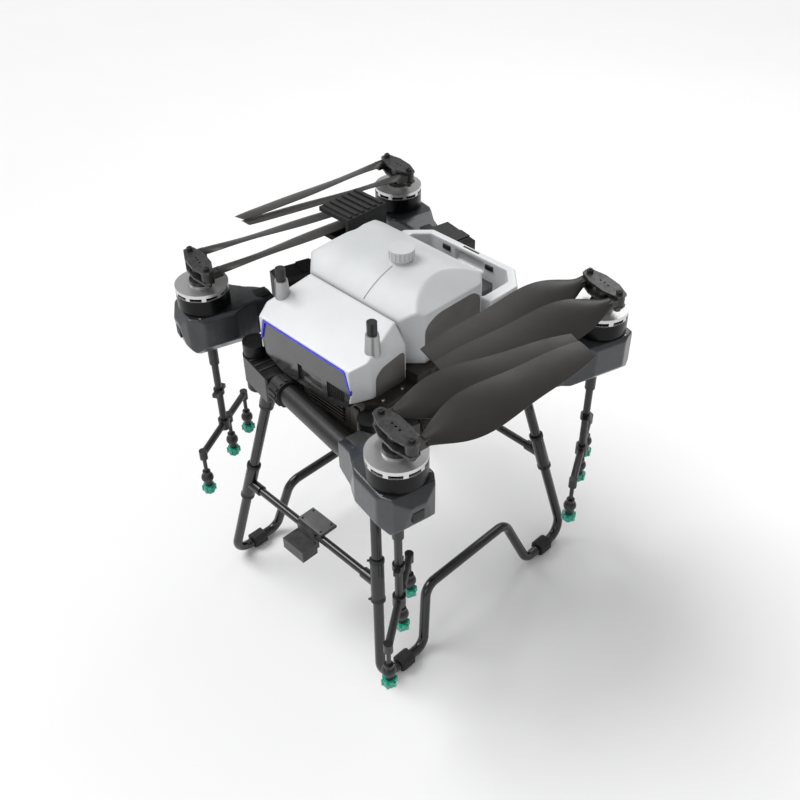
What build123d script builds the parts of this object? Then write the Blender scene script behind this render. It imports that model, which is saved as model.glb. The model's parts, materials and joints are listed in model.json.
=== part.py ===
from build123d import *
import math
import os

# Folding four-arm agricultural spray drone, millimetres.
# +X is the drone's forward direction, +Y its left side, +Z up. The origin lies on the
# ground, at the centre of the four motors. The arms are modelled folded, each lying
# along the next side of the frame, and they swing clockwise about upright hinge pins.

# ---- Driving dimensions: arms ----
HINGE_X = 240.0           # hinge pins stand at the four corners of this rectangle
HINGE_Y = 172.0
ARM_LENGTH = 514.0        # hinge pin to motor shaft, in plan
HINGE_Z = 600.0           # height of the tube axis at the hinge pin
POD_Z = 643.0             # height of the tube axis at the motor shaft
TUBE_R = 22.5
TUBE_WALL = 1.5
PIN_R = 8.0
PIN_CLEARANCE = 0.06
BLOCK_R = 28.0
BLOCK_LOW, BLOCK_HIGH = 569.0, 634.0
BLOCK_END = 92.0
COLLAR_START, COLLAR_LENGTH, COLLAR_R = 96.0, 38.0, 30.5
COLLAR_CLEARANCE = 0.08
COLLAR_RIBS = 14
POD_LOW, POD_HIGH = 596.0, 692.0
POD_R = 59.0
POD_WALL = 3.0
POD_INNER = 150.0         # how far the pod reaches from the motor towards the hinge
FRONT_SWING = 125.0       # degrees that a front arm turns between folded and flying
REAR_SWING = 118.2

# ---- Driving dimensions: motors and propellers ----
BELL_R = 55.0
BELL_LOW, RIM_LOW, BELL_TOP = 698.0, 727.0, 745.0
BELL_WALL = 4.0
RIM_WINDOWS = 10
SHAFT_R = 7.5
SHAFT_CLEARANCE = 0.06
CLAMP_PLATES = ((768.0, 773.0), (792.0, 797.0))
PIVOT_OFFSET = 44.3
BLADE_LOW, BLADE_HIGH = 773.5, 791.5
BLADE_LENGTH = 413.0
BOLT_R = 4.0
# distance from the pivot, chord, thickness and pitch in degrees of each blade section
BLADE_SECTIONS = (
    (24.0, 24.0, 13.0, 8.0),
    (62.0, 52.0, 11.0, 22.0),
    (120.0, 84.0, 8.0, 27.0),
    (200.0, 82.0, 6.5, 23.0),
    (300.0, 68.0, 5.0, 18.0),
    (385.0, 54.0, 4.0, 15.0),
    (BLADE_LENGTH, 44.0, 3.0, 14.0),
)
BLADE_Z = 783.0

# ---- Driving dimensions: spray booms ----
BOOM_R = 7.8
BOOM_TOP, BOOM_Z = 594.0, 362.0
SLEEVE_R, SLEEVE_LOW = 11.0, 535.0
BAR_HALF = 110.0
NOZZLE_LOW, CAP_TOP, VALVE_TOP = 242.0, 268.0, 306.0

# ---- Driving dimensions: frame ----
PLATE_LOW, PLATE_HIGH = 664.0, 676.0
FLOOR_LOW, FLOOR_HIGH = 540.0, 548.0
PLATE_X, PLATE_Y = 232.0, 178.0
CORE_X, CORE_Y = 200.0, 138.0
CORE_WALL = 8.0
EAR_R = 26.0

# ---- Driving dimensions: nose ----
NOSE_REAR, NOSE_FRONT = 123.0, 252.0
NOSE_HALF, NOSE_TOP_HALF = 148.0, 118.0
NOSE_TOP, NOSE_BROW = 795.0, 751.0
NOSE_SHOULDER = 757.0
SHELL = 3.0
ANTENNA_X, ANTENNA_Y = 190.0, 129.0
ANTENNA_LOW, ANTENNA_COLLAR, ANTENNA_TOP = 745.0, 806.0, 833.0

# ---- Driving dimensions: tank and battery bay ----
TANK_FRONT, TANK_REAR = 119.0, -96.0
TANK_HALF = 160.0
TANK_SKIRT = 697.0
TANK_FRONT_CORNER, TANK_REAR_CORNER = 34.0, 22.0
TANK_FLOOR = 474.0
TANK_WALL = 4.0
CROWN_TOP, CROWN_X = 841.0, 10.0
FRONT_EDGE_Z, REAR_EDGE_Z = 796.0, 814.0
SUMP_X0, SUMP_X1, SUMP_HALF = -88.0, 108.0, 116.0
CAP_X, CAP_Y, CAP_R, CAP_TOP_Z = 10.0, 24.0, 26.0, 866.0
NECK_R, NECK_HOLE_R = 20.0, 17.0
SCOOP_CENTRE, SCOOP_R = (-8.0, -168.0, 856.0), 46.0
BAY_FRONT, BAY_REAR = -100.0, -228.0
BAY_HALF, BAY_RIM = 163.0, 752.0
BAY_FLOOR = 676.0
BATTERY_X0, BATTERY_X1, BATTERY_HALF, BATTERY_TOP = -196.0, -116.0, 92.0, 716.0

# ---- Driving dimensions: landing gear ----
LEG_R = 11.25
FOOT_Y = 258.0            # distance of the skids from the centre, at the ground
FOOT_Z = 16.0             # height of the skid tube's axis on the ground
LEAN = 0.19               # how far the leg's plane leans inwards for each unit of height
LEG_TOP = 536.0
FRONT_LEG_TOP_X, FRONT_TOE_X = 226.0, 317.0
REAR_LEG_TOP_X, REAR_TOE_X = -205.0, -308.0
ARCH = ((186.0, FOOT_Z), (150.0, 160.0), (-112.0, 160.0), (-170.0, FOOT_Z))
TOE_BEND, ARCH_BEND, FOOT_BEND = 42.0, 34.0, 30.0
FRONT_CROSS_Z, REAR_CROSS_Z = 260.0, 275.0
FOOT_X = (246.0, -230.0)

CORNERS = {
    "front_right": (HINGE_X, -HINGE_Y, 79.8, FRONT_SWING),
    "front_left": (HINGE_X, HINGE_Y, 163.4, REAR_SWING),
    "rear_left": (-HINGE_X, HINGE_Y, 259.8, FRONT_SWING),
    "rear_right": (-HINGE_X, -HINGE_Y, -16.6, REAR_SWING),
}
# folded directions of a propeller's clamp and of its two blades, and the blades' hand
PROPELLERS = {
    "front_right": (80.2, 165.9, 174.7, 1),
    "rear_left": (260.2, 345.9, 354.7, 1),
    "front_left": (76.0, 353.25, 347.3, -1),
    "rear_right": (256.0, 173.25, 167.3, -1),
}

os.makedirs("parts", exist_ok=True)


def block(x0, x1, y0, y1, z0, z1):
    """A box between two corners."""
    size = Box(abs(x1 - x0), abs(y1 - y0), abs(z1 - z0))
    return Pos((x0 + x1) / 2, (y0 + y1) / 2, (z0 + z1) / 2) * size


def rod(r, z0, z1, x=0.0, y=0.0):
    """An upright cylinder."""
    return Pos(x, y, (z0 + z1) / 2) * Cylinder(r, z1 - z0)


def cone(r_low, r_high, z0, z1, x=0.0, y=0.0):
    """An upright cone."""
    return Pos(x, y, (z0 + z1) / 2) * Cone(r_low, r_high, z1 - z0)


def link(r, start, end):
    """A cylinder from one point to another."""
    a, b = Vector(*start), Vector(*end)
    plane = Plane(origin=a, z_dir=b - a)
    return extrude(plane * Circle(r), (b - a).length)


def outline_face(plane, points, inset):
    """The flat face inside a closed outline, drawn in by inset."""
    face = make_face(plane * Polyline(*points, close=True))
    return offset(face, -inset, kind=Kind.INTERSECTION) if inset else face


def prism_y(points, half, inset=0):
    """A closed outline in X and Z, drawn across the width."""
    return extrude(outline_face(Plane.XZ, points, inset), half - inset, both=True)


def prism_x(points, x0, x1, inset=0):
    """A closed outline in Y and Z, drawn from x0 to x1."""
    plane = Plane(origin=(x0 + inset, 0, 0), x_dir=(0, 1, 0), z_dir=(1, 0, 0))
    return extrude(outline_face(plane, points, inset), x1 - x0 - 2 * inset, dir=(1, 0, 0))


def prism_z(points, z0, z1, inset=0):
    """A closed outline in X and Y, drawn from z0 to z1."""
    plane = Plane(origin=(0, 0, z0 + inset))
    return extrude(outline_face(plane, points, inset), z1 - z0 - 2 * inset, dir=(0, 0, 1))


def save(node, *solids):
    """Write one node, made of one or more separate solids."""
    flat = [s for item in solids for s in item.solids()]
    shape = flat[0] if len(flat) == 1 else Compound(children=flat)
    export_step(shape, f"parts/{node}.step")


def on_arm(corner, shape):
    """Carry a shape from the arm's own frame (hinge at 0, motor along +X) to its corner."""
    x, y, azimuth, _ = CORNERS[corner]
    return Pos(x, y, 0) * Rot(0, 0, azimuth) * shape


def at_motor(corner, shape, azimuth=0.0):
    """Carry a shape built round the motor shaft to its motor."""
    x, y, arm_azimuth, _ = CORNERS[corner]
    a = math.radians(arm_azimuth)
    return Pos(x + ARM_LENGTH * math.cos(a), y + ARM_LENGTH * math.sin(a), 0) * Rot(0, 0, azimuth) * shape


def tube_point(distance):
    """A point on the arm tube's axis, at this distance from the hinge in plan."""
    return (distance, 0.0, HINGE_Z + (POD_Z - HINGE_Z) * distance / ARM_LENGTH)


# ---- Arm: hinge block, tube, lock collar, pod ----
def arm():
    tube_start, tube_end = tube_point(BLOCK_END - 30), tube_point(ARM_LENGTH - POD_INNER + 40)
    outer = link(TUBE_R, tube_start, tube_end)
    tube = outer - link(TUBE_R - TUBE_WALL, tube_start, tube_end)
    body = rod(BLOCK_R, BLOCK_LOW, BLOCK_HIGH)
    body += block(0, BLOCK_END, -BLOCK_R, BLOCK_R, BLOCK_LOW + 2, BLOCK_HIGH)
    body = fillet(body.edges().group_by(Axis.X)[-1], 6)
    body -= rod(PIN_R + PIN_CLEARANCE, BLOCK_LOW - 1, BLOCK_HIGH + 1)
    body -= outer
    return body, tube


def lock_collar():
    start, end = tube_point(COLLAR_START), tube_point(COLLAR_START + COLLAR_LENGTH)
    body = link(COLLAR_R - 2, start, end)
    plane = Plane(origin=start, z_dir=Vector(*end) - Vector(*start))
    length = (Vector(*end) - Vector(*start)).length
    for i in range(COLLAR_RIBS):
        turn = Rot(0, 0, 360 * i / COLLAR_RIBS)
        body += plane * turn * Pos(COLLAR_R - 2, 0, length / 2) * Box(5, 7, length - 8)
    return body - link(TUBE_R + COLLAR_CLEARANCE, start, end)


def pod_solid(inset):
    """The pod's outer form, or its hollow when inset by the wall."""
    nose, inner = ARM_LENGTH + 66, ARM_LENGTH - POD_INNER
    side = (
        (inner, 606), (inner, 668), (inner + 32, 680), (ARM_LENGTH - 70, POD_HIGH),
        (ARM_LENGTH + 50, POD_HIGH), (nose, 668), (nose - 6, 622), (nose - 30, POD_LOW),
        (ARM_LENGTH - 60, POD_LOW),
    )
    plan = (
        (inner, -27), (inner + 50, -34), (ARM_LENGTH - 45, -POD_R), (ARM_LENGTH + 25, -POD_R),
        (ARM_LENGTH + 54, -42), (nose, -16), (nose, 16), (ARM_LENGTH + 54, 42),
        (ARM_LENGTH + 25, POD_R), (ARM_LENGTH - 45, POD_R), (inner + 50, 34), (inner, 27),
    )
    across = (
        (-POD_R, POD_HIGH - 8), (-POD_R, 622), (-36, POD_LOW), (36, POD_LOW), (POD_R, 622),
        (POD_R, POD_HIGH - 8), (POD_R - 6, POD_HIGH), (-POD_R + 6, POD_HIGH),
    )
    return prism_y(side, POD_R, inset) & prism_z(plan, POD_LOW, POD_HIGH, inset) & prism_x(across, inner, nose, inset)


def pod():
    inner = ARM_LENGTH - POD_INNER
    body = pod_solid(0) - pod_solid(POD_WALL)
    body -= link(TUBE_R, tube_point(inner - 5), tube_point(inner + 40))
    body -= rod(BOOM_R, POD_LOW - 5, BOOM_TOP + 22, ARM_LENGTH)
    return body


def stator():
    base = rod(50, POD_HIGH, BELL_LOW - 0.6)
    base += rod(18, BELL_LOW - 0.6, BELL_TOP - 9)
    core = rod(44, BELL_LOW + 2, BELL_TOP - 14)
    for i in range(12):
        a = math.radians(30 * i)
        core -= rod(4, BELL_LOW, BELL_TOP, 38 * math.cos(a), 38 * math.sin(a))
    return base + core - rod(SHAFT_R + SHAFT_CLEARANCE, POD_HIGH - 1, BELL_TOP)


def bell():
    body = rod(BELL_R, BELL_LOW, BELL_TOP)
    body -= rod(BELL_R - BELL_WALL, BELL_LOW - 1, BELL_TOP - 5)
    for i in range(RIM_WINDOWS):
        window = Pos(BELL_R, 0, RIM_LOW + 7) * Box(16, 25, 7)
        body -= Rot(0, 0, 360 * i / RIM_WINDOWS) * window
    body += rod(26, BELL_TOP, BELL_TOP + 3)
    body += rod(SHAFT_R, BELL_LOW, BELL_TOP)
    return body


def clamp_outline(z0, z1):
    long, mid, end = PIVOT_OFFSET + 13, 21, 11
    outline = (
        (-long + 4, -end), (-20, -mid), (20, -mid), (long - 4, -end), (long, 0),
        (long - 4, end), (20, mid), (-20, mid), (-long + 4, end), (-long, 0),
    )
    plate = prism_z(outline, z0, z1)
    for x in (-11, 0, 11):
        plate -= rod(2.2, z0 - 1, z1 + 1, x)
    return plate


def prop_clamp():
    low, high = CLAMP_PLATES
    hub = rod(24, BELL_TOP + 3, 756) + rod(15, 756, high[0])
    hub += clamp_outline(*low)
    for x in (-11, 0, 11):
        hub -= rod(2.2, 770, high[0] + 1, x)
    solids = hub + clamp_outline(*high)
    for x in (-PIVOT_OFFSET, PIVOT_OFFSET):
        solids += rod(BOLT_R, low[0] - 10, high[1] + 1, x)
        solids += rod(7, low[0] - 9, low[0], x) + rod(6.5, high[1], high[1] + 3, x)
    return solids


def blade_section(distance, chord, thick, pitch, hand):
    """One closed section of a blade: its leading edge on the side of hand, and raised."""
    plane = Plane(origin=(distance, 0, BLADE_Z), x_dir=(0, hand, 0), z_dir=(hand, 0, 0))
    half, edge = chord / 2, 0.7
    a = math.radians(pitch)

    def turned(u, v):
        return (u * math.cos(a) - v * math.sin(a), u * math.sin(a) + v * math.cos(a))

    lead_low, lead_high = turned(half, -edge), turned(half, edge)
    trail_low, trail_high = turned(-half, -edge), turned(-half, edge)
    top, bottom = turned(chord * 0.12, thick * 0.72), turned(chord * 0.05, -thick * 0.28)
    upper = ThreePointArc(lead_high, top, trail_high)
    lower = ThreePointArc(trail_low, bottom, lead_low)
    wire = upper + Line(trail_high, trail_low) + lower + Line(lead_low, lead_high)
    return plane * make_face(wire)


def blade(hand):
    """A folding blade along +X from its pivot."""
    vane = loft([blade_section(*section, hand) for section in BLADE_SECTIONS])
    root = rod(12, BLADE_LOW, BLADE_HIGH)
    root += block(0, 32, -9, 9, BLADE_LOW + 1.5, BLADE_HIGH - 1.5)
    return root + vane - rod(BOLT_R + PIN_CLEARANCE, BLADE_LOW - 1, BLADE_HIGH + 1)


# ---- Spray boom, built round the upright tube with its bar along +X ----
def boom():
    body = rod(BOOM_R, BOOM_Z, BOOM_TOP + 22) + rod(SLEEVE_R, SLEEVE_LOW, POD_LOW)
    body += rod(12, 450, 464) + block(-22, 22, -6, 6, 452, 462)
    body += rod(13, BOOM_Z - 13, BOOM_Z + 13)
    body += link(BOOM_R, (-BAR_HALF, 0, BOOM_Z), (BAR_HALF, 0, BOOM_Z))
    for x, drop in ((-BAR_HALF, 0), (BAR_HALF, 0), (24, 0)):
        body += rod(9, BOOM_Z - 14, BOOM_Z + 9, x)
        body += rod(4.5, VALVE_TOP - 6, BOOM_Z, x)
        body += rod(9, VALVE_TOP - 8, VALVE_TOP + 4, x)
        body += Pos(x, 0, (CAP_TOP + VALVE_TOP) / 2 + 4) * Sphere(14)
        body += rod(8, CAP_TOP, VALVE_TOP - 8, x)
    return body


def nozzle_caps():
    caps = []
    for x in (-BAR_HALF, BAR_HALF, 24):
        cap = rod(13, NOZZLE_LOW + 9, CAP_TOP, x)
        for i in range(6):
            cap += Pos(x, 0, 0) * Rot(0, 0, 60 * i) * Pos(13, 0, NOZZLE_LOW + 17) * Box(6, 5, 13)
        cap += cone(6, 9, NOZZLE_LOW, NOZZLE_LOW + 9, x)
        caps.append(cap)
    return caps


for corner, (hinge_x, hinge_y, arm_azimuth, swing) in CORNERS.items():
    clamp_azimuth, first, second, hand = PROPELLERS[corner]
    save(f"arm_{corner}", *[on_arm(corner, s) for s in arm()])
    save(f"lock_collar_{corner}", on_arm(corner, lock_collar()))
    save(f"motor_pod_{corner}", on_arm(corner, pod()))
    save(f"stator_{corner}", at_motor(corner, stator()))
    save(f"motor_bell_{corner}", at_motor(corner, bell(), clamp_azimuth))
    save(f"prop_clamp_{corner}", at_motor(corner, prop_clamp(), clamp_azimuth))
    for name, side, direction in (("inner", -1, first), ("outer", 1, second)):
        turn = Rot(0, 0, clamp_azimuth) * Pos(side * PIVOT_OFFSET, 0, 0) * Rot(0, 0, direction - clamp_azimuth)
        save(f"blade_{name}_{corner}", at_motor(corner, turn * blade(hand)))
    save(f"spray_boom_{corner}", at_motor(corner, boom(), 90 + swing))
    save(f"nozzle_caps_{corner}", *[at_motor(corner, cap, 90 + swing) for cap in nozzle_caps()])


# ---- Rear arms carry a control box on top of the tube ----
def arm_box():
    x0, x1 = ARM_LENGTH - 262, ARM_LENGTH - 160
    body = block(x0, x1, -31, 31, 632, 712)
    body = chamfer(body.faces().sort_by(Axis.Z)[-1].edges(), 7)
    body += block(x0 + 12, x0 + 44, -24, 24, 711, 715)
    body -= link(TUBE_R, tube_point(x0 - 5), tube_point(x1 + 5))
    return body


for corner in ("rear_left", "rear_right"):
    save(f"arm_box_{corner}", on_arm(corner, arm_box()))


# ---- Frame ----
def mirrored(shape):
    """A shape with its three copies, mirrored in X and in Y."""
    half = [shape, mirror(shape, Plane.YZ)]
    return half + [mirror(s, Plane.XZ) for s in half]


def plate(z0, z1, x, y, cut):
    outline = (
        (-x, -y + cut), (-x + cut, -y), (x - cut, -y), (x, -y + cut),
        (x, y - cut), (x - cut, y), (-x + cut, y), (-x, y - cut),
    )
    return prism_z(outline, z0, z1)


def frame():
    hole = block(SUMP_X0 - 3, SUMP_X1 + 3, -SUMP_HALF - 3, SUMP_HALF + 3, FLOOR_LOW - 5, PLATE_HIGH + 5)
    core = block(-CORE_X, CORE_X, -CORE_Y, CORE_Y, FLOOR_HIGH, PLATE_LOW)
    core -= block(-CORE_X + CORE_WALL, CORE_X - CORE_WALL, -CORE_Y + CORE_WALL, CORE_Y - CORE_WALL,
                  FLOOR_HIGH - 1, PLATE_LOW + 1)
    for x in (-140, -60, 40, 130):
        core -= block(x - 24, x + 24, -200, 200, 580, 640)
    body = core + plate(PLATE_LOW, PLATE_HIGH, PLATE_X, PLATE_Y, 30)
    body += plate(FLOOR_LOW, FLOOR_HIGH, 236, 176, 24)
    for y0, y1 in ((-176, -124), (124, 176)):
        body += block(-98, 120, y0, y1, PLATE_HIGH, TANK_SKIRT)
    return body - hole


save("frame", frame())


def hinge_bracket():
    """One corner's two ears and pin, at the front left."""
    pin = rod(PIN_R, FLOOR_HIGH, PLATE_LOW, HINGE_X, HINGE_Y)
    solids = [pin]
    for z0, z1 in ((BLOCK_HIGH + 1.5, PLATE_LOW), (FLOOR_HIGH, BLOCK_LOW - 1.5)):
        ear = rod(EAR_R, z0, z1, HINGE_X, HINGE_Y)
        ear += prism_z(((HINGE_X - 4, HINGE_Y + 25), (HINGE_X + 25, HINGE_Y - 4), (213, 132), (200, 140)), z0, z1)
        solids.append(ear - pin)
    return solids


save("hinge_brackets", *[s for piece in hinge_bracket() for s in mirrored(piece)])


# ---- Nose cover, fascia, light strip, antennas, flight controller ----
def nose_solid(inset):
    front, rear = NOSE_FRONT - inset, NOSE_REAR
    side = ((rear, 640), (rear, NOSE_TOP - inset), (front, NOSE_BROW - inset), (front, 640))
    across = (
        (-NOSE_HALF + inset, 640), (-NOSE_HALF + inset, NOSE_SHOULDER), (-NOSE_TOP_HALF, NOSE_TOP + 2 - inset),
        (NOSE_TOP_HALF, NOSE_TOP + 2 - inset), (NOSE_HALF - inset, NOSE_SHOULDER), (NOSE_HALF - inset, 640),
    )
    plan = (
        (rear, -NOSE_HALF + inset), (212, -NOSE_HALF + inset), (front, -130 + inset),
        (front, 130 - inset), (212, NOSE_HALF - inset), (rear, NOSE_HALF - inset),
    )
    return prism_y(side, 200) & prism_x(across, rear, front) & prism_z(plan, 640, 810)


FASCIA_OUTLINE = (
    (-118, 748), (-131, 702), (-122, 664), (-72, 642), (72, 642), (122, 664), (131, 702), (118, 748),
)


def nose_cover():
    shell = nose_solid(0) - nose_solid(SHELL) - block(100, 260, -200, 200, 600, PLATE_HIGH)
    shell += nose_solid(0) & block(NOSE_REAR, NOSE_REAR + SHELL, -200, 200, PLATE_HIGH, 800)
    return shell - prism_x(FASCIA_OUTLINE, 234, 260)


def fascia():
    panel = prism_x(FASCIA_OUTLINE, 238, 249)
    panel -= prism_x(((-24, 652), (-24, 690), (46, 690), (46, 652)), 243, 260)
    panel -= prism_x(((62, 656), (62, 694), (112, 694), (112, 668)), 243, 260)
    return panel


def light_strip():
    outer = prism_x(FASCIA_OUTLINE, 249, 252)
    inner = ((-114, 743), (-127, 701), (-140, 600), (140, 600), (127, 701), (114, 743))
    return outer - prism_x(inner, 240, 260) - block(240, 260, -140, 140, 630, 700)


def antenna(y):
    side = 1 if y > 0 else -1
    body = cone(17, 13, ANTENNA_LOW, ANTENNA_COLLAR, ANTENNA_X, y) + rod(10, ANTENNA_COLLAR, ANTENNA_TOP, ANTENNA_X, y)
    return body - nose_solid(0)


save("nose_cover", nose_cover())
save("nose_fascia", fascia())
save("light_strip", light_strip())
save("antennas", antenna(ANTENNA_Y), antenna(-ANTENNA_Y))
save("flight_controller", block(136, 206, -42, 42, PLATE_HIGH, 702))


# ---- Tank, cap ----
def crown(inset, front, rear):
    """The tank's side outline: a skirt with a crowned top."""
    top = CROWN_TOP - inset
    arc = ThreePointArc((front, FRONT_EDGE_Z - inset), (CROWN_X, top), (rear, REAR_EDGE_Z - inset))
    rest = Polyline((rear, REAR_EDGE_Z - inset), (rear, TANK_SKIRT + inset), (front, TANK_SKIRT + inset),
                    (front, FRONT_EDGE_Z - inset))
    return make_face(Plane.XZ * (arc + rest))


def tank_solid(inset):
    half = TANK_HALF - inset
    upper = extrude(crown(inset, TANK_FRONT - inset, TANK_REAR + inset), half, both=True)
    across = (
        (-half, 690), (-half, 812), (-126, CROWN_TOP + 1 - inset), (104, CROWN_TOP + 1 - inset),
        (half, 806 - inset), (half, 690),
    )
    upper &= prism_x(across, TANK_REAR, TANK_FRONT)
    front, rear = TANK_FRONT_CORNER, TANK_REAR_CORNER
    plan = (
        (TANK_REAR, -TANK_HALF + rear), (TANK_REAR + rear, -TANK_HALF), (TANK_FRONT - front, -TANK_HALF),
        (TANK_FRONT, -TANK_HALF + front), (TANK_FRONT, TANK_HALF - front), (TANK_FRONT - front, TANK_HALF),
        (TANK_REAR + rear, TANK_HALF), (TANK_REAR, TANK_HALF - rear),
    )
    upper &= prism_z(plan, TANK_SKIRT - 5, CROWN_TOP + 5, inset)
    sump = block(SUMP_X0 + inset, SUMP_X1 - inset, -SUMP_HALF + inset, SUMP_HALF - inset,
                 TANK_FLOOR + inset, TANK_SKIRT + 10)
    return upper + sump


def scoop(inset):
    """The hand scoop in the tank's right top edge, grown by the wall to shape the hollow."""
    return Pos(*SCOOP_CENTRE) * Sphere(SCOOP_R + inset)


def tank():
    body = tank_solid(0) - scoop(0) + rod(NECK_R, 820, CAP_TOP_Z - 5, CAP_X, CAP_Y)
    body -= tank_solid(TANK_WALL) - scoop(TANK_WALL)
    return body - rod(NECK_HOLE_R, 800, CAP_TOP_Z, CAP_X, CAP_Y)


def tank_cap():
    body = rod(CAP_R, CAP_TOP_Z - 20, CAP_TOP_Z, CAP_X, CAP_Y)
    for i in range(18):
        a = math.radians(20 * i)
        body -= rod(1.6, CAP_TOP_Z - 18, CAP_TOP_Z - 3, CAP_X + CAP_R * math.cos(a), CAP_Y + CAP_R * math.sin(a))
    return body - rod(NECK_R + 0.5, CAP_TOP_Z - 21, CAP_TOP_Z - 4.5, CAP_X, CAP_Y)


save("tank", tank())
save("tank_cap", tank_cap())


# ---- Battery bay and battery ----
def bay():
    corner = 46
    outline = (
        (BAY_FRONT, -BAY_HALF), (BAY_REAR + corner, -BAY_HALF), (BAY_REAR, -BAY_HALF + corner),
        (BAY_REAR, BAY_HALF - corner), (BAY_REAR + corner, BAY_HALF), (BAY_FRONT, BAY_HALF),
    )
    inner = (
        (BAY_FRONT - 6, -BAY_HALF + 26), (BAY_REAR + corner, -BAY_HALF + 26), (BAY_REAR + 16, -BAY_HALF + corner + 10),
        (BAY_REAR + 16, BAY_HALF - corner - 10), (BAY_REAR + corner, BAY_HALF - 26), (BAY_FRONT - 6, BAY_HALF - 26),
    )
    body = prism_z(outline, BAY_FLOOR, BAY_RIM) - prism_z(inner, BAY_FLOOR + 6, BAY_RIM + 1)
    return body - block(BAY_REAR + 9, BAY_REAR + 20, -36, 44, 716, 740)


def battery():
    body = block(BATTERY_X0, BATTERY_X1, -BATTERY_HALF, BATTERY_HALF, BAY_FLOOR + 6, BATTERY_TOP)
    body = chamfer(body.edges().filter_by(Axis.Z), 8)
    middle = (BATTERY_X0 + BATTERY_X1) / 2
    for y in (-40, 40):
        body += block(middle - 8, middle + 8, y - 6, y + 6, BATTERY_TOP, BATTERY_TOP + 18)
    return body + block(middle - 8, middle + 8, -46, 46, BATTERY_TOP + 14, BATTERY_TOP + 22)


save("battery_bay", bay())
save("battery", battery())


# ---- Pump, propeller rest ----
def pump():
    body = block(-186, -126, -30, 30, 500, FLOOR_LOW)
    body += link(21, (-176, -62, 519), (-176, 40, 519))
    return body + link(8, (-150, 0, 510), (-100, 0, 510)) - block(-88, 0, -200, 200, 400, 600)


def prop_rest():
    """A holder round the rear right blades' tips, open on its outer side, built of joined plates."""
    plates = [
        block(-156, -44, -284, -200, 748, 760),
        block(-156, -44, -284, -200, 806, 816),
        block(-156, -44, -200, -192, 748, 816),
        block(-96, -66, -192, -166, 748, 760),
        block(-96, -66, -176, -166, PLATE_HIGH + 21, 748),
    ]
    for i in range(6):
        plates.append(block(-150 + 18 * i, -142 + 18 * i, -280, -196, 816, 821))
    return plates


save("spray_pump", pump())


# ---- Landing gear ----
def lean_y(z):
    return FOOT_Y - LEAN * (z - FOOT_Z)


def skid():
    """The left leg loop: one bent tube in a plane that leans inwards."""
    points = (
        (FRONT_LEG_TOP_X, LEG_TOP), (FRONT_TOE_X, FOOT_Z), *ARCH, (REAR_TOE_X, FOOT_Z), (REAR_LEG_TOP_X, LEG_TOP),
    )
    path = FilletPolyline(*[(x, lean_y(z), z) for x, z in points],
                          radius=[TOE_BEND, FOOT_BEND, ARCH_BEND, ARCH_BEND, FOOT_BEND, TOE_BEND])
    start = path @ 0
    return sweep(Plane(origin=start, z_dir=path % 0) * Circle(LEG_R), path=path)


def leg_x(top, toe, z):
    return toe + (top - toe) * (z - FOOT_Z) / (LEG_TOP - FOOT_Z)


def leg_point(front, z):
    top, toe = (FRONT_LEG_TOP_X, FRONT_TOE_X) if front else (REAR_LEG_TOP_X, REAR_TOE_X)
    return (leg_x(top, toe, z), lean_y(z), z)


def cross_members():
    solids = []
    for front, z in ((True, FRONT_CROSS_Z), (False, REAR_CROSS_Z)):
        x, y, _ = leg_point(front, z)
        solids.append(link(9, (x, -y + 17, z), (x, y - 17, z)))
        for side in (1, -1):
            low, high = leg_point(front, z - 42), leg_point(front, z + 58)
            sleeve = link(LEG_R + 3.5, low, high) + link(12.5, (x, y - 42, z), (x, y, z))
            sleeve -= link(LEG_R, leg_point(front, z - 60), leg_point(front, z + 80))
            sleeve -= link(9, (x, y - 60, z), (x, y - 17, z))
            solids.append(sleeve if side > 0 else mirror(sleeve, Plane.XZ))
    for front in (True, False):
        socket = link(17, leg_point(front, 498), leg_point(front, LEG_TOP + 16))
        socket -= block(-400, 400, -400, 400, FLOOR_LOW, 700)
        socket -= link(LEG_R, leg_point(front, 480), leg_point(front, LEG_TOP))
        solids += [socket, mirror(socket, Plane.XZ)]
    return solids


def foot_pads():
    pads = []
    for x in FOOT_X:
        pad = block(x - 17, x + 17, FOOT_Y - 17, FOOT_Y + 17, 0, 34)
        pad = chamfer(pad.edges().filter_by(Axis.X), 8)
        pad -= link(LEG_R, (x - 30, FOOT_Y, FOOT_Z), (x + 30, FOOT_Y, FOOT_Z))
        pads += [pad, mirror(pad, Plane.XZ)]
    return pads


def radar():
    x, _, z = leg_point(True, FRONT_CROSS_Z)
    body = block(x + 9, x + 50, -36, 30, 216, 246)
    body += block(x - 40, x + 6, -36, 42, z + 9, z + 15)
    body += block(x - 2, x + 12, -30, 24, 222, z + 12)
    return body - link(9, (x, -100, z), (x, 100, z))


left = skid()
save("landing_gear_left", left)
save("landing_gear_right", mirror(left, Plane.XZ))
save("gear_cross_tubes", *cross_members())
save("foot_pads", *foot_pads())
save("radar", radar())
save("prop_rest", *prop_rest())
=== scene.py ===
"""Looks of the folding agricultural spray drone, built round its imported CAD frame. Metres."""
import json
import math

import bmesh
import bpy
from mathutils import Matrix, Vector


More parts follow.
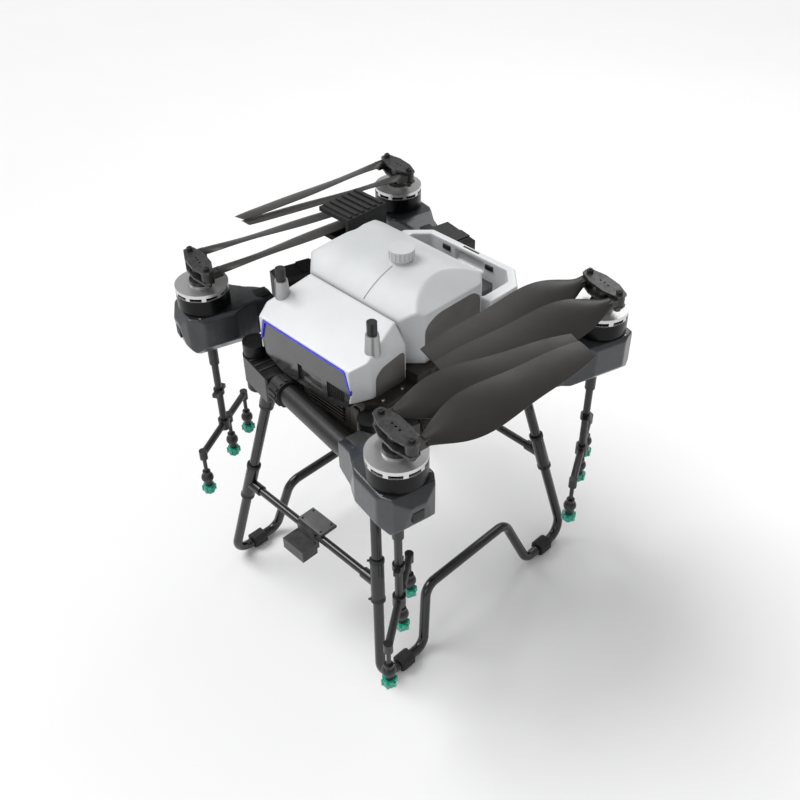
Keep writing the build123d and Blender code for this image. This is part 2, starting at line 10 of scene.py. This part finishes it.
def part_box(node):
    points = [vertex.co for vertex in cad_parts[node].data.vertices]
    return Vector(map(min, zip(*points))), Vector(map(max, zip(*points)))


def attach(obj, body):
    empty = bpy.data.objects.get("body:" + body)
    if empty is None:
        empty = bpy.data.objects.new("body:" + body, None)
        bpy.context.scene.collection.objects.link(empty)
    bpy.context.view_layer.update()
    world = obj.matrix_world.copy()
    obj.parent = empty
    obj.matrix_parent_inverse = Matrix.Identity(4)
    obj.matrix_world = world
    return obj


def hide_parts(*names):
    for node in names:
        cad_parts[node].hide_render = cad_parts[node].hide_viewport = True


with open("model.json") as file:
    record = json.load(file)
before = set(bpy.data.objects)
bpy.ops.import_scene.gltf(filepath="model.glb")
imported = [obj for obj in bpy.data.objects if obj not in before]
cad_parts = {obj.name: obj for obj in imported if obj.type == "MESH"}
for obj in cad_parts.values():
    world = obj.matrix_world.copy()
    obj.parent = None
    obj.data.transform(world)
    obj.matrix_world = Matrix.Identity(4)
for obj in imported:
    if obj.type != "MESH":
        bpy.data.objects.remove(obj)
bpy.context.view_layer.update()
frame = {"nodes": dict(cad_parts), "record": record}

MM = 0.001
CORNERS = ("front_right", "front_left", "rear_left", "rear_right")
JOINTS = {joint["name"]: joint for joint in frame["record"]["behaviour"]["joints"]}


# ---- Materials ----
def material(name, dark, light, rough, metallic=0.0, scale=40.0, grain=900.0, bump=0.15, coat=0.0,
             stretch=(1, 1, 1)):
    """A procedural finish: mottled colour, uneven roughness and a fine grain in the surface."""
    mat = bpy.data.materials.new(name)
    mat.use_nodes = True
    nodes, links = mat.node_tree.nodes, mat.node_tree.links
    shader = nodes["Principled BSDF"]
    shader.inputs["Metallic"].default_value = metallic
    shader.inputs["Coat Weight"].default_value = coat
    shader.inputs["Coat Roughness"].default_value = 0.12
    where = nodes.new("ShaderNodeTexCoord")
    mapping = nodes.new("ShaderNodeMapping")
    mapping.inputs["Scale"].default_value = stretch
    links.new(where.outputs["Object"], mapping.inputs["Vector"])

    def noise(size, detail):
        node = nodes.new("ShaderNodeTexNoise")
        node.inputs["Scale"].default_value = size
        node.inputs["Detail"].default_value = detail
        links.new(mapping.outputs["Vector"], node.inputs["Vector"])
        return node.outputs["Fac"]

    ramp = nodes.new("ShaderNodeValToRGB")
    for stop, position, colour in zip(ramp.color_ramp.elements, (0.32, 0.68), (dark, light)):
        stop.position = position
        stop.color = (*colour, 1)
    links.new(noise(scale, 5.0), ramp.inputs["Fac"])
    links.new(ramp.outputs["Color"], shader.inputs["Base Color"])
    spread = nodes.new("ShaderNodeMapRange")
    spread.inputs["To Min"].default_value = max(0.04, rough - 0.07)
    spread.inputs["To Max"].default_value = rough + 0.09
    links.new(noise(scale * 2.3, 6.0), spread.inputs["Value"])
    links.new(spread.outputs["Result"], shader.inputs["Roughness"])
    relief = nodes.new("ShaderNodeBump")
    relief.inputs["Strength"].default_value = bump
    relief.inputs["Distance"].default_value = 0.0004
    links.new(noise(grain, 3.0), relief.inputs["Height"])
    links.new(relief.outputs["Normal"], shader.inputs["Normal"])
    return mat


def banded(name, bands, rough, metallic):
    """A finish whose colour changes with height: bands are (lowest height, colour)."""
    mat = material(name, bands[0][1], bands[0][1], rough, metallic, 60.0, 1200.0, 0.1)
    nodes, links = mat.node_tree.nodes, mat.node_tree.links
    low = bands[0][0]
    high = bands[-1][0] + 0.02
    split = nodes.new("ShaderNodeSeparateXYZ")
    links.new(nodes["Texture Coordinate"].outputs["Object"], split.inputs["Vector"])
    level = nodes.new("ShaderNodeMapRange")
    level.inputs["From Min"].default_value = low
    level.inputs["From Max"].default_value = high
    links.new(split.outputs["Z"], level.inputs["Value"])
    ramp = nodes.new("ShaderNodeValToRGB")
    ramp.color_ramp.interpolation = "CONSTANT"
    elements = ramp.color_ramp.elements
    while len(elements) < len(bands):
        elements.new(0.5)
    for element, (height, colour) in zip(elements, bands):
        element.position = (height - low) / (high - low)
        element.color = (*colour, 1)
    links.new(level.outputs["Result"], ramp.inputs["Fac"])
    links.new(ramp.outputs["Color"], nodes["Principled BSDF"].inputs["Base Color"])
    return mat


def grey(value, warm=0.0):
    """A grey, pushed towards brown by warm."""
    return (value * (1 + warm), value, value * (1 - warm))


MATS = {
    "box_plastic": material("box_plastic", grey(0.007), grey(0.013), 0.52, scale=70, grain=2200, bump=0.4),
    "arm_composite": material("arm_composite", grey(0.006), grey(0.012), 0.36, scale=90, coat=0.1),
    "blade_composite": material("blade_composite", grey(0.011, 0.12), grey(0.017, 0.16), 0.40, scale=12,
                                grain=1500, bump=0.22, stretch=(1, 1, 3)),
    "collar_plastic": material("collar_plastic", grey(0.008), grey(0.016), 0.48, scale=80, bump=0.3),
    "pod_plastic": material("pod_plastic", (0.018, 0.021, 0.025), (0.030, 0.034, 0.040), 0.33, scale=34,
                            grain=1800, bump=0.18, coat=0.3),
    "motor_core": material("motor_core", grey(0.012), grey(0.02), 0.4, 0.6),
    "clamp_alloy": material("clamp_alloy", grey(0.045), grey(0.085), 0.38, 0.75, scale=120, grain=1600),
    "boom_tube": material("boom_tube", grey(0.007), grey(0.014), 0.38, scale=80, coat=0.1),
    "nozzle_green": material("nozzle_green", (0.0, 0.24, 0.15), (0.01, 0.42, 0.29), 0.27, scale=120,
                             coat=0.4),
    "leg_tube": material("leg_tube", grey(0.004), grey(0.007), 0.24, scale=50, grain=700, bump=0.05,
                         coat=0.3),
    "foot_rubber": material("foot_rubber", grey(0.010), grey(0.022), 0.75, scale=120, bump=0.5),
    "bracket_alloy": material("bracket_alloy", grey(0.010), grey(0.022), 0.38, 0.6, scale=90),
    "frame_panel": material("frame_panel", grey(0.018, 0.12), grey(0.040, 0.18), 0.42, 0.4, scale=50),
    "cover_plastic": material("cover_plastic", (0.60, 0.61, 0.62), (0.645, 0.655, 0.665), 0.30, scale=9,
                              grain=1700, bump=0.06, coat=0.25),
    "fascia_gloss": material("fascia_gloss", grey(0.020), grey(0.040), 0.16, scale=30, coat=0.6, bump=0.03),
    "light_blue": material("light_blue", (0.01, 0.01, 0.55), (0.03, 0.04, 0.85), 0.2, scale=90, bump=0.02),
    "electronics": material("electronics", grey(0.014), grey(0.028), 0.5, scale=90, bump=0.3),
    "tank_plastic": material("tank_plastic", (0.53, 0.545, 0.555), (0.585, 0.60, 0.61), 0.36, scale=11,
                             grain=1400, bump=0.12),
    "bay_plastic": material("bay_plastic", (0.66, 0.67, 0.68), (0.72, 0.73, 0.74), 0.3, scale=12,
                            grain=1700, bump=0.07, coat=0.2),
    "battery_case": material("battery_case", grey(0.03), grey(0.05), 0.5, scale=80, bump=0.3),
    "rest_rubber": material("rest_rubber", grey(0.011), grey(0.024), 0.8, scale=160, grain=1100, bump=0.6),
    "radar_case": material("radar_case", grey(0.03), grey(0.06), 0.4, scale=60, bump=0.15),
}
MATS["motor_alloy"] = banded(
    "motor_alloy", ((0.690, grey(0.008)), (0.7300, grey(0.66)), (0.7440, grey(0.50))), 0.3, 0.75)
MATS["antenna_alloy"] = banded(
    "antenna_alloy", ((0.740, grey(0.42)), (0.806, grey(0.04))), 0.32, 0.6)
# Painted shade: a dark warm grey for the inserts in the tank's side recesses and the sheets on the nose
# sides, standing in for the shade on those faces.
MATS["painted_shade_panel"] = material("painted_shade_panel", grey(0.075, 0.06), grey(0.115, 0.07), 0.4, scale=14,
                              grain=1500, bump=0.12)
STEEL = material("bolt_steel", grey(0.42), grey(0.58), 0.26, 1.0, scale=160)
DARK = MATS["box_plastic"]

for item in frame["record"]["subparts"]:
    mesh = frame["nodes"][item["node"]].data
    mesh.materials.clear()
    mesh.materials.append(MATS[item["material_slot"]])


# ---- Mesh helpers ----
def circle(bm, radius, height, matrix, segments):
    """A ring of vertices round the matrix's own Z."""
    ring = []
    for i in range(segments):
        a = math.tau * i / segments
        ring.append(bm.verts.new(matrix @ Vector((radius * math.cos(a), radius * math.sin(a), height))))
    return ring


def lathe(bm, profile, matrix=Matrix(), segments=32):
    """A closed turned form; the profile runs from the axis, out and back, as (radius, height)."""
    rings = []
    for radius, height in profile:
        if radius == 0:
            rings.append([bm.verts.new(matrix @ Vector((0, 0, height)))])
        else:
            rings.append(circle(bm, radius, height, matrix, segments))
    for low, high in zip(rings, rings[1:]):
        for i in range(segments):
            j = (i + 1) % segments
            corners = [low[i % len(low)], low[j % len(low)], high[j % len(high)], high[i % len(high)]]
            unique = list(dict.fromkeys(corners))
            if len(unique) > 2:
                bm.faces.new(unique)


def peg(bm, radius, z0, z1, matrix=Matrix(), segments=28, edge=0.0008):
    """A turned peg with chamfered rims; six segments make a hexagon nut."""
    edge = min(edge, (z1 - z0) / 3, radius / 3)
    inner = radius - edge
    profile = ((0, z0), (inner, z0), (radius, z0 + edge), (radius, z1 - edge), (inner, z1), (0, z1))
    lathe(bm, profile, matrix, segments)


def slab(bm, low, high, matrix=Matrix(), edge=0.002):
    """A box between two corners with rounded edges."""
    size = Vector(high) - Vector(low)
    middle = (Vector(high) + Vector(low)) / 2
    where = matrix @ Matrix.Translation(middle) @ Matrix.Diagonal((*size, 1))
    made = bmesh.ops.create_cube(bm, size=1, matrix=where)
    edges = list({e for v in made["verts"] for e in v.link_edges})
    offset = min(edge, min(size) * 0.45)
    bmesh.ops.bevel(bm, geom=edges, offset=offset, segments=3, profile=0.5, affect="EDGES")


def rounded(outline, radius, steps=6):
    """An outline with each corner turned into an arc."""
    points = []
    for i, corner in enumerate(outline):
        here = Vector(corner)
        before = Vector(outline[i - 1]) - here
        after = Vector(outline[(i + 1) % len(outline)]) - here
        reach = min(radius, before.length * 0.45, after.length * 0.45)
        start = here + before.normalized() * reach
        end = here + after.normalized() * reach
        for k in range(steps + 1):
            t = k / steps
            points.append(start * (1 - t) ** 2 + here * 2 * t * (1 - t) + end * t * t)
    return points


def panel(bm, outline, z0, z1, matrix=Matrix(), radius=0.01):
    """A flat panel with rounded corners, drawn in its own X and Y from z0 to z1."""
    points = rounded(outline, radius)
    low = [bm.verts.new(matrix @ Vector((q.x, q.y, z0))) for q in points]
    high = [bm.verts.new(matrix @ Vector((q.x, q.y, z1))) for q in points]
    bm.faces.new(low[::-1])
    bm.faces.new(high)
    for i in range(len(points)):
        j = (i + 1) % len(points)
        bm.faces.new((low[i], low[j], high[j], high[i]))


def pipe(bm, points, radius, segments=14):
    """A round rod that follows a few points."""
    rings = []
    for i, point in enumerate(points):
        ahead = Vector(points[min(i + 1, len(points) - 1)]) - Vector(points[max(i - 1, 0)])
        turn = ahead.to_track_quat("Z", "Y").to_matrix().to_4x4()
        frame_at = Matrix.Translation(Vector(point)) @ turn
        rings.append(circle(bm, radius, 0, frame_at, segments))
    for low, high in zip(rings, rings[1:]):
        for i in range(segments):
            j = (i + 1) % segments
            bm.faces.new((low[i], low[j], high[j], high[i]))
    bm.faces.new(rings[0][::-1])
    bm.faces.new(rings[-1])


def place(name, bm, mat, body):
    """Turn finished mesh code into a piece that rides on a body."""
    bmesh.ops.recalc_face_normals(bm, faces=bm.faces)
    mesh = bpy.data.meshes.new(name)
    bm.to_mesh(mesh)
    bm.free()
    mesh.materials.append(mat)
    mesh.polygons.foreach_set("use_smooth", [True] * len(mesh.polygons))
    mesh.set_sharp_from_angle(angle=math.radians(38))
    piece = bpy.data.objects.new(name, mesh)
    bpy.context.scene.collection.objects.link(piece)
    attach(piece, body)
    return piece


def moulded(node, body, voxel, rounds, slot):
    """A moulded stand-in for a CAD node: its shape remeshed and softened along every edge."""
    source = frame["nodes"][node]
    piece = bpy.data.objects.new(f"{node}_moulded", source.data.copy())
    bpy.context.scene.collection.objects.link(piece)
    remesh = piece.modifiers.new("remesh", "REMESH")
    remesh.mode = "VOXEL"
    remesh.voxel_size = voxel
    smooth = piece.modifiers.new("smooth", "SMOOTH")
    smooth.factor = 0.5
    smooth.iterations = rounds
    depsgraph = bpy.context.evaluated_depsgraph_get()
    mesh = bpy.data.meshes.new_from_object(piece.evaluated_get(depsgraph))
    piece.modifiers.clear()
    piece.data = mesh
    mesh.materials.clear()
    mesh.materials.append(MATS[slot])
    mesh.polygons.foreach_set("use_smooth", [True] * len(mesh.polygons))
    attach(piece, body)
    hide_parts(node)
    return piece


def carve(piece, bm):
    """Cut a shape out of a moulded piece."""
    bmesh.ops.recalc_face_normals(bm, faces=bm.faces)
    mesh = bpy.data.meshes.new("cutter")
    bm.to_mesh(mesh)
    bm.free()
    cutter = bpy.data.objects.new("cutter", mesh)
    bpy.context.scene.collection.objects.link(cutter)
    cut = piece.modifiers.new("cut", "BOOLEAN")
    cut.operation, cut.solver, cut.object = "DIFFERENCE", "EXACT", cutter
    depsgraph = bpy.context.evaluated_depsgraph_get()
    made = bpy.data.meshes.new_from_object(piece.evaluated_get(depsgraph))
    piece.modifiers.clear()
    piece.data = made
    bpy.data.objects.remove(cutter)
    made.set_sharp_from_angle(angle=math.radians(50))


# ---- Moulded shells ----
tank = moulded("tank", "tank", 0.0028, 7, "tank_plastic")
tank_low, tank_high = (Vector(v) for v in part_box("tank"))
cap_low, cap_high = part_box("tank_cap")
cap_middle = (Vector(cap_low) + Vector(cap_high)) / 2
TANK_FRONT_EDGE, TANK_CREST, TANK_REAR_EDGE = 0.796, 0.841, 0.814


def circle_through(a, b, c):
    """Centre and radius of the circle through three points of a side outline."""
    d = 2 * (a[0] * (b[1] - c[1]) + b[0] * (c[1] - a[1]) + c[0] * (a[1] - b[1]))
    squares = [q[0] ** 2 + q[1] ** 2 for q in (a, b, c)]
    x = (squares[0] * (b[1] - c[1]) + squares[1] * (c[1] - a[1]) + squares[2] * (a[1] - b[1])) / d
    z = (squares[0] * (c[0] - b[0]) + squares[1] * (a[0] - c[0]) + squares[2] * (b[0] - a[0])) / d
    return x, z, math.hypot(a[0] - x, a[1] - z)


CROWN = circle_through(
    (tank_high.x, TANK_FRONT_EDGE), (cap_middle.x, TANK_CREST), (tank_low.x, TANK_REAR_EDGE))


def crest(x):
    """Height of the tank's crowned top above a place along its length."""
    return CROWN[1] + math.sqrt(CROWN[2] ** 2 - (x - CROWN[0]) ** 2)


# The moulding groove runs up the tank's front face and back over its crown to the cap.
GROOVE_X, GROOVE_Y, GROOVE_RADIUS = 0.1185, 0.027, 0.0019
groove = bmesh.new()
run = [(GROOVE_X, GROOVE_Y, 0.765), (GROOVE_X, GROOVE_Y, 0.786)]
run += [(x * MM, GROOVE_Y, crest(x * MM) - 0.0002) for x in range(113, 33, -4)]
pipe(groove, run, GROOVE_RADIUS)
carve(tank, groove)
SIDE = Matrix.Rotation(math.radians(90), 4, "X")
TANK_SIDE = (
    (-0.072, 0.716), (0.084, 0.716), (0.084, 0.780), (0.052, 0.797), (-0.050, 0.797), (-0.072, 0.780))
TANK_SIDE_MIDDLE = 0.7565
for y, sign in ((tank_high.y, 1), (tank_low.y, -1)):
    hollow, shade_insert = bmesh.new(), bmesh.new()
    panel(hollow, TANK_SIDE, -sign * (y * sign - 0.0020), -sign * (y * sign + 0.004), SIDE, 0.022)
    carve(tank, hollow)
    # Painted shade: a dark insert in each side recess paints the shade on the tank's flank; the recess
    # itself is carved.
    inner = [(x * 0.985 + 0.0001, TANK_SIDE_MIDDLE + (z - TANK_SIDE_MIDDLE) * 0.975) for x, z in TANK_SIDE]
    panel(shade_insert, inner, -sign * (y * sign - 0.0024), -sign * (y * sign - 0.0008), SIDE, 0.021)
    place(f"tank_recess_shade_{'left' if sign > 0 else 'right'}", shade_insert, MATS["painted_shade_panel"], "tank")
moulded("nose_cover", "root", 0.0022, 4, "cover_plastic")
moulded("battery_bay", "root", 0.0028, 5, "bay_plastic")
for corner in CORNERS:
    moulded(f"motor_pod_{corner}", f"arm_{corner}", 0.0022, 6, "pod_plastic")


# ---- Motors, clamps and pods ----
CLAMP_TOP = 0.7995


def joint_place(name):
    """A point on a joint's axis."""
    return Vector(JOINTS[name]["pos_m"])


for corner in CORNERS:
    motor = joint_place(f"rotor_turn_{corner}")
    pivots = [joint_place(f"blade_{side}_pivot_{corner}") for side in ("inner", "outer")]
    bolts = bmesh.new()
    for pivot in pivots:
        at = Matrix.Translation((pivot.x, pivot.y, 0))
        peg(bolts, 0.0068, CLAMP_TOP, CLAMP_TOP + 0.0050, at, 6)
        peg(bolts, 0.0035, CLAMP_TOP + 0.0050, CLAMP_TOP + 0.0070, at)
    place(f"rotor_bolts_{corner}", bolts, MATS["clamp_alloy"], f"rotor_{corner}")

    hinge = joint_place(f"arm_fold_{corner}")
    along = motor - hinge
    arm = Matrix.Translation((hinge.x, hinge.y, 0)) @ Matrix.Rotation(math.atan2(along.y, along.x), 4, "Z")
    reach = Vector((along.x, along.y)).length
    trim = bmesh.new()
    slab(trim, (reach - 0.140, -0.016, 0.676), (reach - 0.104, 0.016, 0.6825), arm, 0.003)
    slab(trim, (reach + 0.0615, -0.012, 0.632), (reach + 0.0655, 0.012, 0.655), arm, 0.0015)
    for x in (0.020, 0.040, 0.060):
        slab(trim, (x - 0.003, -0.026, 0.6335), (x + 0.003, 0.026, 0.6360), arm, 0.0008)
    place(f"arm_trim_{corner}", trim, DARK, f"arm_{corner}")
    screws = bmesh.new()
    for x, y, z0, z1 in ((-0.105, 0.022, 0.675, 0.683), (0.028, 0.049, 0.6895, 0.6935)):
        for side in (1, -1):
            peg(screws, 0.0030, z0, z1, arm @ Matrix.Translation((reach + x, y * side, 0)), 6)
    peg(screws, 0.011, 0.6338, 0.6352, arm)
    place(f"arm_screws_{corner}", screws, STEEL, f"arm_{corner}")

# ---- Tank cap dot, bay contacts, nose trim, painted shade on the nose sides ----
VENT_RADIUS = 0.0036
cap_top = cap_high[2]
dot = bmesh.new()
vent = (
    (0, cap_top - 0.0005), (VENT_RADIUS, cap_top - 0.0005), (VENT_RADIUS, cap_top - 0.0001), (0, cap_top))
lathe(dot, vent, Matrix.Translation((cap_middle.x, cap_middle.y, 0)))
place("cap_vent", dot, DARK, "tank_cap")

bay_low, bay_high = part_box("battery_bay")
contacts = bmesh.new()
back, rim = bay_low[0], bay_high[2]
for y in (-0.062, 0.060):
    slab(contacts, (back + 0.015, y - 0.011, rim - 0.022), (back + 0.019, y + 0.011, rim - 0.010))
slab(contacts, (back + 0.006, -0.020, rim - 0.0006), (back + 0.011, 0.024, rim + 0.0004), edge=0.0003)
place("bay_contacts", contacts, DARK, "root")

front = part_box("nose_fascia")[1][0]
GRILLE_PITCH = 0.0056
grille = bmesh.new()
for i in range(9):
    y = 0.064 + GRILLE_PITCH * i
    slab(grille, (front - 0.007, y - 0.0009, 0.661), (front - 0.002, y + 0.0009, 0.690), edge=0.0004)
for i in range(5):
    z = 0.664 + GRILLE_PITCH * i
    slab(grille, (front - 0.007, 0.063, z - 0.0008), (front - 0.0025, 0.111, z + 0.0008), edge=0.0004)
place("fascia_grille", grille, DARK, "root")

window = bmesh.new()
slab(window, (front - 0.008, -0.021, 0.655), (front - 0.0045, 0.043, 0.687), edge=0.002)
place("fascia_window", window, MATS["fascia_gloss"], "root")

nose_low, nose_high = (Vector(v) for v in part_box("nose_cover"))
# Painted shade: dark sheets on the nose's lower side faces stand in for the shade that falls there.
NOSE_SHADE_OUTLINE = ((0.127, 0.646), (0.204, 0.646), (0.202, 0.722), (0.186, 0.736), (0.127, 0.746))
for y, sign in ((nose_high.y, 1), (nose_low.y, -1)):
    shade_sheet = bmesh.new()
    panel(shade_sheet, NOSE_SHADE_OUTLINE, -sign * (y * sign - 0.0015), -sign * (y * sign + 0.0004), SIDE, 0.014)
    place(f"nose_shade_sheet_{'left' if sign > 0 else 'right'}", shade_sheet, MATS["painted_shade_panel"], "root")

# ---- Frame hardware: bolts, the front ribs and their blocks, the edge rails ----
hardware = bmesh.new()
for x, y in ((-0.205, 0.165 * 1.03), (-0.165, 0.165 * 1.03), (0.150, 0.165), (0.200, 0.165)):
    for sign in (-1, 1):
        peg(hardware, 0.0042, 0.6755, 0.6795, Matrix.Translation((x, y * sign, 0)), 6)
for sign in (-1, 1):
    for x in (-0.180, -0.100, -0.010, 0.085, 0.165):
        outward = Matrix.Rotation(math.radians(-90 * sign), 4, "X")
        peg(hardware, 0.0040, 0, 0.003, Matrix.Translation((x, sign * 0.1380, 0.652)) @ outward, 6)
place("frame_bolts", hardware, STEEL, "root")

rails = bmesh.new()
for i in range(11):
    z = 0.560 + 0.0085 * i
    slab(rails, (0.2000, -0.052, z), (0.2050, 0.052, z + 0.0045), edge=0.001)
for sign in (-1, 1):
    slab(rails, (0.2000, sign * 0.098 - 0.022, 0.556), (0.2080, sign * 0.098 + 0.022, 0.652), edge=0.003)
    slab(rails, (0.2060, sign * 0.098 - 0.008, 0.588), (0.2120, sign * 0.098 + 0.008, 0.626), edge=0.003)
    edge_y = sign * 0.1750
    for i in range(9):
        x = -0.085 + 0.020 * i
        slab(rails, (x, edge_y - 0.0022, 0.6785), (x + 0.012, edge_y + 0.0022, 0.6945), edge=0.0008)
place("frame_rails", rails, MATS["frame_panel"], "root")

radar_low, radar_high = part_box("radar")
cover, fixings = bmesh.new(), bmesh.new()
slab(cover, (radar_low[0] + 0.001, radar_low[1] + 0.002, radar_high[2] - 0.0005),
     (radar_low[0] + 0.044, radar_high[1] - 0.002, radar_high[2] + 0.0012), edge=0.0006)
for x in (0.007, 0.038):
    for y in (radar_low[1] + 0.009, radar_high[1] - 0.009):
        at = Matrix.Translation((radar_low[0] + x, y, 0))
        peg(fixings, 0.0028, radar_high[2] + 0.0008, radar_high[2] + 0.0028, at, 6)
plate_grey = material("plate_grey", grey(0.16), grey(0.21), 0.38, 0.4)
place("radar_plate", cover, plate_grey, "root")
place("radar_screws", fixings, DARK, "root")

# ---- Leg fittings: clamp bands where the sleeves end ----
# Each left leg: where its foot and head are, and the heights of its bands.
LEGS = (((0.317, 0.258, 0.016), (0.226, 0.1592, 0.536), (0.222, 0.314, 0.492)),
        ((-0.308, 0.258, 0.016), (-0.205, 0.1592, 0.536), (0.237, 0.329, 0.492)))
LYING = Matrix.Rotation(math.radians(90), 4, "Y")
bands = bmesh.new()
for sign in (1, -1):
    for foot, head, heights in LEGS:
        foot = Vector((foot[0], foot[1] * sign, foot[2]))
        head = Vector((head[0], head[1] * sign, head[2]))
        turn = (head - foot).to_track_quat("Z", "Y").to_matrix().to_4x4()
        for height in heights:
            at = Matrix.Translation(foot.lerp(head, (height - foot.z) / (head.z - foot.z))) @ turn
            peg(bands, 0.0160, -0.005, 0.005, at, 32, 0.0012)
            peg(bands, 0.0028, 0.0150, 0.0205, at @ LYING, 6)
place("leg_bands", bands, DARK, "root")

# ---- Floor, light, camera ----
HALF = 6.0
floor_mesh = bpy.data.meshes.new("floor")
floor_corners = [(-HALF, -HALF, 0), (HALF, -HALF, 0), (HALF, HALF, 0), (-HALF, HALF, 0)]
floor_mesh.from_pydata(floor_corners, [], [(0, 1, 2, 3)])
floor_pale = material("floor_pale", grey(0.895), grey(0.905), 0.8, scale=3, grain=200, bump=0.02)
floor_mesh.materials.append(floor_pale)
floor = bpy.data.objects.new("floor", floor_mesh)
bpy.context.scene.collection.objects.link(floor)

world = bpy.data.worlds.new("studio")
bpy.context.scene.world = world
world.use_nodes = True
backdrop = world.node_tree.nodes["Background"]
backdrop.inputs["Color"].default_value = (1, 1, 1, 1)
backdrop.inputs["Strength"].default_value = 0.5


def softbox(name, where, power, size, target=(0, 0, 0.6)):
    """A square lamp that faces the object."""
    lamp = bpy.data.lights.new(name, "AREA")
    lamp.energy = power
    lamp.size = size
    holder = bpy.data.objects.new(name, lamp)
    holder.location = where
    holder.rotation_euler = (Vector(target) - Vector(where)).to_track_quat("-Z", "Y").to_euler()
    bpy.context.scene.collection.objects.link(holder)


sun = bpy.data.lights.new("sun", "SUN")
sun.energy = 2.0
sun.angle = math.radians(38)
sun_holder = bpy.data.objects.new("sun", sun)
sun_holder.rotation_euler = Vector((-0.30, 0.62, -1.0)).to_track_quat("-Z", "Y").to_euler()
bpy.context.scene.collection.objects.link(sun_holder)
softbox("front", (2.6, 0.4, 1.6), 9, 1.2)
softbox("rim", (-2.2, -0.6, 2.6), 16, 1.4)

CAMERA_AT = Vector((1.18159, 1.22056, 1.86507))
HEADING, DOWN, ROLL = math.radians(45.856), math.radians(39.486), math.radians(-0.843)
level = math.cos(DOWN)
forward = Vector((-math.cos(HEADING) * level, -math.sin(HEADING) * level, -math.sin(DOWN)))
right = forward.cross(Vector((0, 0, 1))).normalized()
up = right.cross(forward)
side = math.cos(ROLL) * right + math.sin(ROLL) * up
top = -math.sin(ROLL) * right + math.cos(ROLL) * up
lens = bpy.data.cameras.new("camera")
lens.lens = 45.10
lens.sensor_width = 36.0
camera = bpy.data.objects.new("camera", lens)
camera.matrix_world = Matrix((
    (side.x, top.x, -forward.x, CAMERA_AT.x),
    (side.y, top.y, -forward.y, CAMERA_AT.y),
    (side.z, top.z, -forward.z, CAMERA_AT.z),
    (0, 0, 0, 1),
))
bpy.context.scene.collection.objects.link(camera)
bpy.context.scene.camera = camera
bpy.context.scene.view_settings.view_transform = "Standard"
